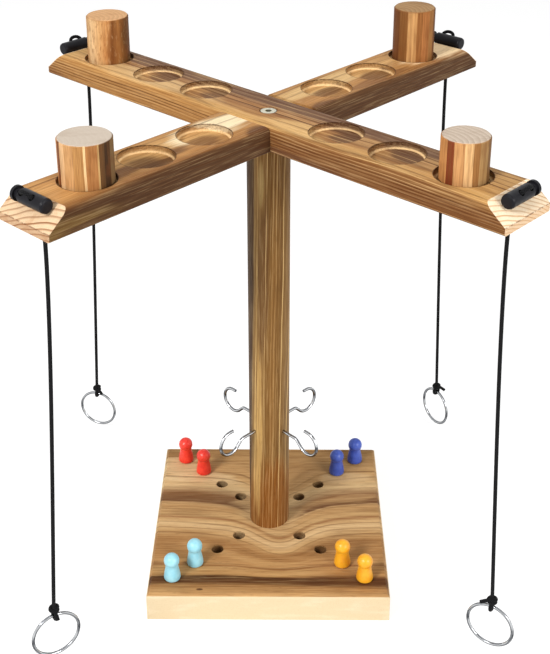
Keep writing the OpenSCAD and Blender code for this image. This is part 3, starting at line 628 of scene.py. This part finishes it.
def block_finish(name, middle, radius, staves, top_tones, top, whole, edge_mark):
    """Turned block with its end grain on top. The staves' tones go from left to right across it,
    each from its place as a share of the width: sharp where it is glued from upright staves, and
    blended and mottled where it is one whole piece. edge_mark is the strength of the dark edge
    round the top."""
    f = Finish(name)
    lay = f.add("ShaderNodeMapping", vector_type="TEXTURE")
    lay.inputs["Location"].default_value = (middle[0], middle[1], 0)
    f.put(lay.inputs["Vector"], f.on_piece)
    grain = lay.outputs[0]
    x, y, z = f.split(grain)
    wobble = f.noise(grain, 0.012 if whole else 0.02, detail=2, stretch=(1, 1, 2.5))
    across = f.sum("ADD", x, f.sum("MULTIPLY", f.sum("SUBTRACT", wobble, 0.5),
                                   0.006 if whole else 0.0012))
    tone = f.ramp(f.spread(across, -radius, radius, soft=False), staves, sharp=not whole)

    # Upright lines, or the mottled grain of a whole piece
    if whole:
        mottle = f.noise(grain, 0.0016, detail=3, rough=0.65, stretch=(1, 1, 3))
        tone = f.mix(f.spread(mottle, 0.5, 0.66, to=(0, 0.5)), tone, (150, 92, 46))
        tone = f.mix(f.spread(mottle, 0.46, 0.3, to=(0, 0.2)), tone, (232, 192, 138))
    lines = f.noise(grain, 0.0013, detail=2, stretch=(1, 3, 30), shift=(radius * 900, 0, 0))
    tone = f.mix(f.spread(lines, 0.5, 0.64, to=(0, 0.15 if whole else 0.32)), tone, (120, 76, 38))
    fibre = f.noise(grain, 0.0005, detail=3, rough=0.6, stretch=(1, 1, 30))
    tone = f.mix(f.spread(fibre, 0.42, 0.68, to=(0, 0.35)), tone, fibre_tone, blend="MULTIPLY")
    cloud = f.noise(grain, 0.006, detail=2, stretch=(1, 1, 2), shift=(4, radius * 500, 1))
    tone = f.mix(f.spread(cloud, 0.5, 0.7, to=(0, 0.3)), tone, (120, 66, 32))

    tone = f.mix(f.spread(z, top - 0.0005, top - 0.0001), tone, end_grain(f, grain, top_tones))
    to_side = f.sum("SUBTRACT", radius, f.from_axis(grain))
    to_edge = f.sum("MAXIMUM", f.sum("SUBTRACT", top, z), to_side)
    ragged = f.sum("MULTIPLY", f.sum("SUBTRACT", wobble, 0.35), 0.004)
    tone = f.mix(f.spread(to_edge, f.sum("ADD", ragged, 0.0007), 0.0002, to=(0, edge_mark)), tone,
                 block_edge_tone)
    f.relief(fibre, 0.0001, 0.5)
    return f.surface(tone, f.spread(fibre, 0.3, 0.7, to=(0.5, 0.62)), specular=oiled_specular)


def end_grain(f, grain, top_tones):
    """Arcs of year rings, specks and clouds. top_tones are the light tone, the dark tone and the
    strength of the arcs."""
    light, dark, ring_share = top_tones
    slow = f.noise(grain, 0.012, detail=2, output="Color")
    loose = f.vector("SUBTRACT", slow, (0.5, 0.5, 0.5))
    moved = f.vector("ADD", grain, f.vector("MULTIPLY", loose, (0.004, 0.004, 0)))
    arcs = f.add("ShaderNodeTexWave", wave_type="RINGS", rings_direction="Z", wave_profile="SAW")
    f.put(arcs.inputs["Vector"], f.vector("ADD", moved, (0.021, 0.012, 0)))
    arcs.inputs["Scale"].default_value = 105
    tone = f.mix(f.sum("MULTIPLY", arcs.outputs["Fac"], ring_share), light, dark)
    speck = f.noise(grain, 0.0004, detail=2)
    tone = f.mix(f.spread(speck, 0.5, 0.7, to=(0, 0.35)), tone, dark)
    patch = f.noise(grain, 0.005, detail=2, stretch=(3, 1, 1), shift=(7, 3, 2))
    return f.mix(f.spread(patch, 0.5, 0.7, to=(0, 0.3)), tone, dark)


# Each block's tones from left to right, and its end grain: the light tone, the dark tone and the
# strength of the rings
staves = {
    "fl": [(0, (196, 138, 84)), (0.05, (122, 70, 38)), (0.10, (230, 186, 136)),
           (0.19, (212, 162, 108)), (0.36, (192, 142, 86)), (0.545, (236, 198, 144)),
           (0.585, (176, 120, 70)), (0.77, (200, 160, 104)), (0.80, (98, 68, 40)),
           (0.88, (68, 46, 28)), (0.96, (120, 94, 62))],
    "fr": [(0, (196, 136, 80)), (0.10, (128, 60, 32)), (0.22, (204, 150, 96)),
           (0.42, (228, 182, 126)), (0.60, (160, 112, 64)), (0.72, (180, 142, 92)),
           (0.9, (126, 92, 54))],
    "rl": [(0, (206, 160, 108)), (0.12, (230, 192, 142)), (0.38, (212, 162, 106)),
           (0.53, (196, 136, 80)), (0.64, (116, 68, 32)), (0.76, (166, 110, 58)),
           (0.9, (112, 72, 36)), (1, (92, 60, 32))],
    "rr": [(0, (110, 66, 34)), (0.12, (134, 88, 46)), (0.3, (204, 154, 98)),
           (0.46, (200, 148, 92)), (0.52, (150, 96, 50)), (0.66, (174, 112, 62)),
           (0.82, (156, 108, 60)), (0.93, (102, 64, 34))]}
top_tones = {"fl": ((200, 186, 170), (170, 150, 130), 0.12),
             "fr": ((208, 192, 174), (160, 138, 118), 0.6),
             "rl": ((218, 172, 124), (166, 116, 72), 0.4),
             "rr": ((176, 140, 96), (116, 78, 44), 0.5)}
for c in corners:
    low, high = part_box("block_" + c)
    middle = ((low[0] + high[0]) / 2, (low[1] + high[1]) / 2)
    radius = (high[0] - low[0]) / 2
    edge_mark = 0.5 if c in ("rl", "rr") else 0.15
    dress("block_" + c, block_finish("block wood " + c, middle, radius, staves[c], top_tones[c],
                                     high[2], c == "rl", edge_mark))


# ---------------------------------------------------------------- metal, pegs, locks

def bright_wire(name, soft_painted_highlight, high_painted_highlight):
    """Bright plated wire, with a painted reflection in its colour: bands along it, by which way it
    faces, that a studio's light and dark sides would give. The two brightest bands, its painted
    highlights, are given, so that a thin wire still shows against a white background."""
    f = Finish(name)
    facing = f.split(f.add("ShaderNodeNewGeometry").outputs["Normal"])["Z"]
    haze = f.noise(f.on_piece, 0.005, detail=1)
    height = f.sum("ADD", f.spread(facing, -1, 1, soft=False),
                   f.sum("MULTIPLY", f.sum("SUBTRACT", haze, 0.5), 0.3))
    # Painted reflection: the tone goes by which way the surface faces, up or down
    bands = f.ramp(height, [(0, (92, 94, 98)), (0.2, (60, 62, 66)), (0.36, (168, 170, 172)),
                            (0.5, (78, 80, 84)), (0.62, soft_painted_highlight), (0.76, high_painted_highlight),
                            (0.88, (104, 106, 110)), (1, (160, 162, 165))])
    f.shader.inputs["Specular Tint"].default_value = colour((70, 72, 76))
    f.relief(f.noise(f.on_piece, 0.0006, detail=2), 0.00003, 0.25)
    return f.surface(bands, f.spread(haze, 0.3, 0.7, to=(0.14, 0.26)), metallic=1)


def satin_steel():
    """Satin steel, with painted shade in the bolt heads' sockets, and dark at their rims"""
    socket_r = (0.0019, 0.0015)
    rim_r = (0.0043, 0.00455, 0.0055, 0.006)
    f = Finish("satin bolt steel")
    haze = f.noise(f.on_piece, 0.0012, detail=3)
    reach = f.from_axis(f.on_piece)
    tone = f.mix(f.spread(haze, 0.3, 0.7), (224, 220, 198), (198, 194, 174))
    # Painted shade in the sockets
    tone = f.mix(f.spread(reach, socket_r[0], socket_r[1], to=(0, 0.95)), tone, (30, 30, 24))
    rim = f.sum("MULTIPLY", f.spread(reach, rim_r[0], rim_r[1]),
                f.spread(reach, rim_r[3], rim_r[2]))
    tone = f.mix(f.sum("MULTIPLY", rim, 0.8), tone, (62, 56, 42))
    f.relief(haze, 0.00004, 0.3)
    return f.surface(tone, f.spread(haze, 0.3, 0.7, to=(0.24, 0.4)), metallic=1)


def plain_brass():
    f = Finish("insert brass")
    haze = f.noise(f.on_piece, 0.001, detail=2)
    tone = f.mix(haze, (214, 178, 104), (184, 146, 76))
    return f.surface(tone, f.spread(haze, 0.3, 0.7, to=(0.25, 0.4)), metallic=1)


def peg_paint(name, tone, deep):
    """Satin paint on a turned peg, with the last faint lines of the lathe"""
    f = Finish(name)
    cloud = f.noise(f.on_piece, 0.004, detail=2)
    turned = f.noise(f.on_piece, 0.0006, detail=1, stretch=(30, 30, 1))
    f.relief(turned, 0.00008, 0.35)
    return f.surface(f.mix(f.spread(cloud, 0.3, 0.75), tone, deep),
                     f.spread(cloud, 0.3, 0.7, to=(0.30, 0.42)), specular=0.45)


def lock_plastic():
    f = Finish("matte lock plastic")
    cloud = f.noise(f.on_piece, 0.004, detail=2)
    f.relief(f.noise(f.on_piece, 0.00035, detail=2), 0.00005, 0.35)
    return f.surface(f.mix(cloud, (20, 20, 24), (30, 29, 33)),
                     f.spread(cloud, 0.3, 0.7, to=(0.3, 0.42)), specular=0.12)


# Each wire's two painted highlights, the soft one and the high one
hook_wire = bright_wire("plated hook wire", (202, 204, 206), (232, 233, 235))
ring_wire = bright_wire("plated ring wire", (182, 184, 186), (200, 202, 204))
steel = satin_steel()
brass = plain_brass()
plastic = lock_plastic()
paints = {"sky": peg_paint("sky peg paint", (166, 222, 234), (146, 210, 226)),
          "orange": peg_paint("orange peg paint", (248, 178, 40), (240, 160, 26)),
          "red": peg_paint("red peg paint", (250, 70, 50), (232, 50, 38)),
          "blue": peg_paint("blue peg paint", (72, 98, 192), (56, 80, 172))}
for name in ("top_bolt", "foot_bolt"):
    dress(name, steel)
for name in ("top_insert", "foot_insert"):
    dress(name, brass)
for c in corners:
    dress("hook_" + c, hook_wire)
    dress("ring_" + c, ring_wire)
    dress("spring_" + c, steel)
    dress("barrel_" + c, plastic)
    dress("plunger_" + c, plastic)
    for which in ("inner", "outer"):
        dress("peg_%s_%s" % (peg_colours[c], which), paints[peg_colours[c]])


# ---------------------------------------------------------------- cords and knots

def braid():
    """Braided cord: UV runs once round the cord across, and in cord diameters along it"""
    strands_round, strands_along = 6, 1.6
    f = Finish("black braided cord")
    uv = f.split(f.add("ShaderNodeUVMap", uv_map="UVMap").outputs[0])
    weave = None
    for way in (1, -1):
        lean = f.sum("ADD", f.sum("MULTIPLY", uv["X"], strands_round * way),
                     f.sum("MULTIPLY", uv["Y"], strands_along))
        strand = f.sum("ABSOLUTE", f.sum("SINE", f.sum("MULTIPLY", lean, math.pi)))
        weave = strand if weave is None else f.sum("MULTIPLY", weave, strand)
    fluff = f.noise(f.on_piece, 0.0003, detail=2)
    f.shader.inputs["Sheen Weight"].default_value = 0.03
    f.shader.inputs["Sheen Roughness"].default_value = 0.5
    f.relief(f.sum("ADD", weave, f.sum("MULTIPLY", fluff, 0.3)), 0.00018, 0.8)
    return f.surface(f.mix(weave, (12, 12, 13), (34, 34, 35)),
                     f.spread(fluff, 0.3, 0.7, to=(0.72, 0.9)), specular=0.06)


cord_finish = braid()
cord_sides = 12


def smooth_path(points, steps):
    """Points on a smooth curve through the given points"""
    out = []
    last = len(points) - 1
    for k in range(last):
        a = points[max(k - 1, 0)]
        b = points[k]
        c = points[k + 1]
        d = points[min(k + 2, last)]
        for s in range(steps):
            t = s / steps
            out.append(0.5 * ((2 * b) + (c - a) * t + (2 * a - 5 * b + 4 * c - d) * t * t
                              + (3 * b - a - 3 * c + d) * t * t * t))
    out.append(points[last].copy())
    return out


def tube(name, path, thickness, tip=1.0):
    """Closed tube along a path, with a UV map that goes round and along it. tip is the width of
    its last end as a share of the thickness."""
    radii = [thickness / 2] * (len(path) - 1) + [thickness / 2 * tip]
    verts, faces, coords = [], [], []
    across = None
    run = 0.0
    runs = []
    for k, p in enumerate(path):
        along = (path[min(k + 1, len(path) - 1)] - path[max(k - 1, 0)]).normalized()
        if across is None:
            across = along.orthogonal().normalized()
        across = (across - along * across.dot(along)).normalized()
        other = along.cross(across)
        if k:
            run += (p - path[k - 1]).length
        runs.append(run / thickness)
        for s in range(cord_sides):
            a = 2 * math.pi * s / cord_sides
            verts.append(p + (across * math.cos(a) + other * math.sin(a)) * radii[k])
    for k in range(len(path) - 1):
        near, far = k * cord_sides, (k + 1) * cord_sides
        for s in range(cord_sides):
            t = (s + 1) % cord_sides
            faces.append((near + s, near + t, far + t, far + s))
            coords += [(s / cord_sides, runs[k]), ((s + 1) / cord_sides, runs[k]),
                       ((s + 1) / cord_sides, runs[k + 1]), (s / cord_sides, runs[k + 1])]
    faces.append(tuple(range(cord_sides - 1, -1, -1)))
    faces.append(tuple((len(path) - 1) * cord_sides + s for s in range(cord_sides)))
    coords += [(0.5, runs[0])] * cord_sides + [(0.5, runs[-1])] * cord_sides
    mesh = bpy.data.meshes.new(name)
    mesh.from_pydata([v[:] for v in verts], [], faces)
    layer = mesh.uv_layers.new(name="UVMap")
    for loop, uv in zip(layer.data, coords):
        loop.uv = uv
    for face in mesh.polygons:
        face.use_smooth = len(face.vertices) == 4
    mesh.materials.append(cord_finish)
    piece = bpy.data.objects.new(name, mesh)
    bpy.context.scene.collection.objects.link(piece)
    return piece


def hang_point(c, along, z):
    """The point at height z, that far along an arm, on the line of the leg that hangs"""
    a = corner_angle[c]
    t = hang_side[c] * lock_side[c] * leg_gap / 2
    return Vector((along * math.cos(a) - t * math.sin(a), along * math.sin(a) + t * math.cos(a), z))


def hanging_cord(c):
    """The stretch between the arm and its knot, which it enters a little"""
    into_knot = 0.001
    steps = 36
    low = knot_z[c] + knot_d / 2 - into_knot
    path = []
    for k in range(steps + 1):
        s = k / steps
        out = s * s * drop_lean[c] - drop_bow * math.sin(math.pi * s ** drop_skew)
        path.append(hang_point(c, drop_r[c] + out, drop_top + s * s * (low - drop_top)))
    return path


def knot_path(c):
    """Round the ring's wire, round itself, and out as a tail. Places are in millimetres from the
    wire's middle: along the wire, to its side, and up."""
    base = hang_point(c, drop_r[c] + drop_lean[c], knot_z[c] - knot_above)
    h = math.radians(ring_turn[c])
    wire_way = Vector((math.cos(h), math.sin(h), 0))
    side_way = Vector((-math.sin(h), math.cos(h), 0))

    def at(w, s, z):
        return base + wire_way * (w * MM) + side_way * (s * MM) + Vector((0, 0, z * MM))

    r = (ring_wire_d / 2 + cord_d / 2 + 0.00022) / MM
    up = knot_above / MM
    points = [at(0, 0, up + 3.1), at(0, -0.5, up + 1.9), at(0.2, -1.1, up + 0.2),
              at(0.3, -1.6, up - 1.6), at(0.15, -r * 1.0, 0.5), at(0, -r * 0.75, -r * 0.66),
              at(0, 0, -r), at(0, r * 0.75, -r * 0.66), at(-0.15, r * 1.0, 0.5),
              at(-0.4, 1.75, up - 1.9)]
    wrap_r, wrap_from, wrap_step, wrap_rise, wrap_points = 2.05, 125, 62, 0.33, 9
    for k in range(wrap_points):
        a = math.radians(wrap_from - wrap_step * k)
        points.append(at(wrap_r * math.cos(a), wrap_r * math.sin(a), up - 1.35 + wrap_rise * k))
    tail = math.radians(tail_turn[c] - ring_turn[c])
    droop = math.radians(tail_droop[c])
    for d in (3.0, 5.2, 7.2):
        points.append(at(d * math.cos(tail) * math.cos(droop), d * math.sin(tail) * math.cos(droop),
                         up + 0.5 - d * math.sin(droop) * (0.6 + 0.05 * d)))
    return smooth_path(points, 6)


def lock_point(c, along, out):
    """A point in a lock's frame: along its barrel to the button, and out from the slanted end"""
    a = corner_angle[c]
    outward = Vector((math.cos(a), math.sin(a), 0))
    barrel_way = Vector((-math.sin(a), math.cos(a), 0)) * lock_side[c]
    square = outward * math.sin(slant) + Vector((0, 0, math.cos(slant)))
    return outward * lock_r[c] + Vector((0, 0, lock_z[c])) + barrel_way * along + square * out


def lock_loop(c):
    """Up through the arm and the lock, over in an arch, and down into its other hole"""
    half = hang_side[c] * leg_gap / 2
    ease = 0.0006
    arch_steps = 12
    foot = barrel_r - ease
    high = loop_rise + ease
    mouth = lock_point(c, half, -leg_drop)
    points = [Vector((mouth.x, mouth.y, arm_z)), Vector((mouth.x, mouth.y, (arm_z + mouth.z) / 2)),
              Vector((mouth.x, mouth.y, mouth.z - ease)), lock_point(c, half, ease - leg_drop),
              lock_point(c, half, 0), lock_point(c, half, foot - ease)]
    for k in range(1, arch_steps):
        a = math.pi * k / arch_steps
        points.append(lock_point(c, half * math.cos(a), foot + high * math.sin(a)))
    points += [lock_point(c, -half, foot - ease), lock_point(c, -half, 0.0004 - barrel_r)]
    return smooth_path(points, 3)


for c in corners:
    cord_path = hanging_cord(c)
    drop = tube("hanging_cord_" + c, cord_path, cord_d)
    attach(drop, "line_" + c)
    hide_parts("cord_" + c)
    knot = tube("ring_knot_" + c, knot_path(c), cord_d, tip=0.8)
    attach(knot, "line_" + c)
    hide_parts("knot_" + c)
    loop = tube("lock_loop_" + c, lock_loop(c), cord_d)
    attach(loop, "stand")
    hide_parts("loop_" + c)


# ---------------------------------------------------------------- floor and light

floor_side = 8
floor_down = 0.0002
floor_glow = 0.72
floor_shade = 0.42
sky_light = 0.36

# Name, place, width and power of each lamp. They all point at the game.
lamps = (("key light", (-1.15, -1.35, 1.5), 0.6, 37),
         ("top light", (-0.1, 0.1, 2.0), 1.4, 6),
         ("fill light", (1.35, -1.2, 1.0), 1.0, 21))
lamp_aim = (0, 0, 0.2)


def set_floor():
    """A pale floor that lights the game as it is, and that the camera sees white but for the
    game's shadow"""
    bpy.ops.object.select_all(action="DESELECT")
    bpy.ops.mesh.primitive_plane_add(size=floor_side, location=(0, 0, -floor_down))
    floor = bpy.context.object
    floor.name = "floor"
    f = Finish("pale floor")
    matte = f.add("ShaderNodeBsdfDiffuse")
    faint = f.noise(f.on_piece, 0.3, detail=2)
    f.put(matte.inputs["Color"], f.mix(faint, (226, 226, 226), (230, 230, 230)))
    shadow = f.add("ShaderNodeBsdfDiffuse")
    shadow.inputs["Color"].default_value = grey(floor_shade)
    glow = f.add("ShaderNodeEmission")
    glow.inputs["Color"].default_value = grey(1)
    glow.inputs["Strength"].default_value = floor_glow
    both = f.add("ShaderNodeAddShader")
    f.put(both.inputs[0], shadow.outputs[0])
    f.put(both.inputs[1], glow.outputs[0])
    choose = f.add("ShaderNodeMixShader")
    f.put(choose.inputs[0], f.seen_plainly())
    f.put(choose.inputs[1], matte.outputs[0])
    f.put(choose.inputs[2], both.outputs[0])
    f.put(f.nodes["Material Output"].inputs[0], choose.outputs[0])
    f.nodes.remove(f.shader)
    floor.data.materials.append(f.material)


def set_sky():
    """White where the camera sees it, and a softer light on the game"""
    world = bpy.data.worlds.new("white studio")
    bpy.context.scene.world = world
    world.use_nodes = True
    sky = Nodes(world.node_tree)
    back = sky.nodes["Background"]
    back.inputs["Color"].default_value = grey(1)
    level = sky.spread(sky.seen_plainly(), 0, 1, soft=False, to=(sky_light, 1))
    sky.put(back.inputs["Strength"], level)


def set_lamp(name, place, width, power):
    data = bpy.data.lights.new(name, "AREA")
    data.shape = "DISK"
    data.size = width
    data.energy = power
    item = bpy.data.objects.new(name, data)
    bpy.context.scene.collection.objects.link(item)
    item.location = place
    item.rotation_euler = (Vector(lamp_aim) - Vector(place)).to_track_quat("-Z", "Y").to_euler()


set_floor()
set_sky()
for lamp in lamps:
    set_lamp(*lamp)

scene = bpy.context.scene
scene.view_settings.view_transform = "Standard"
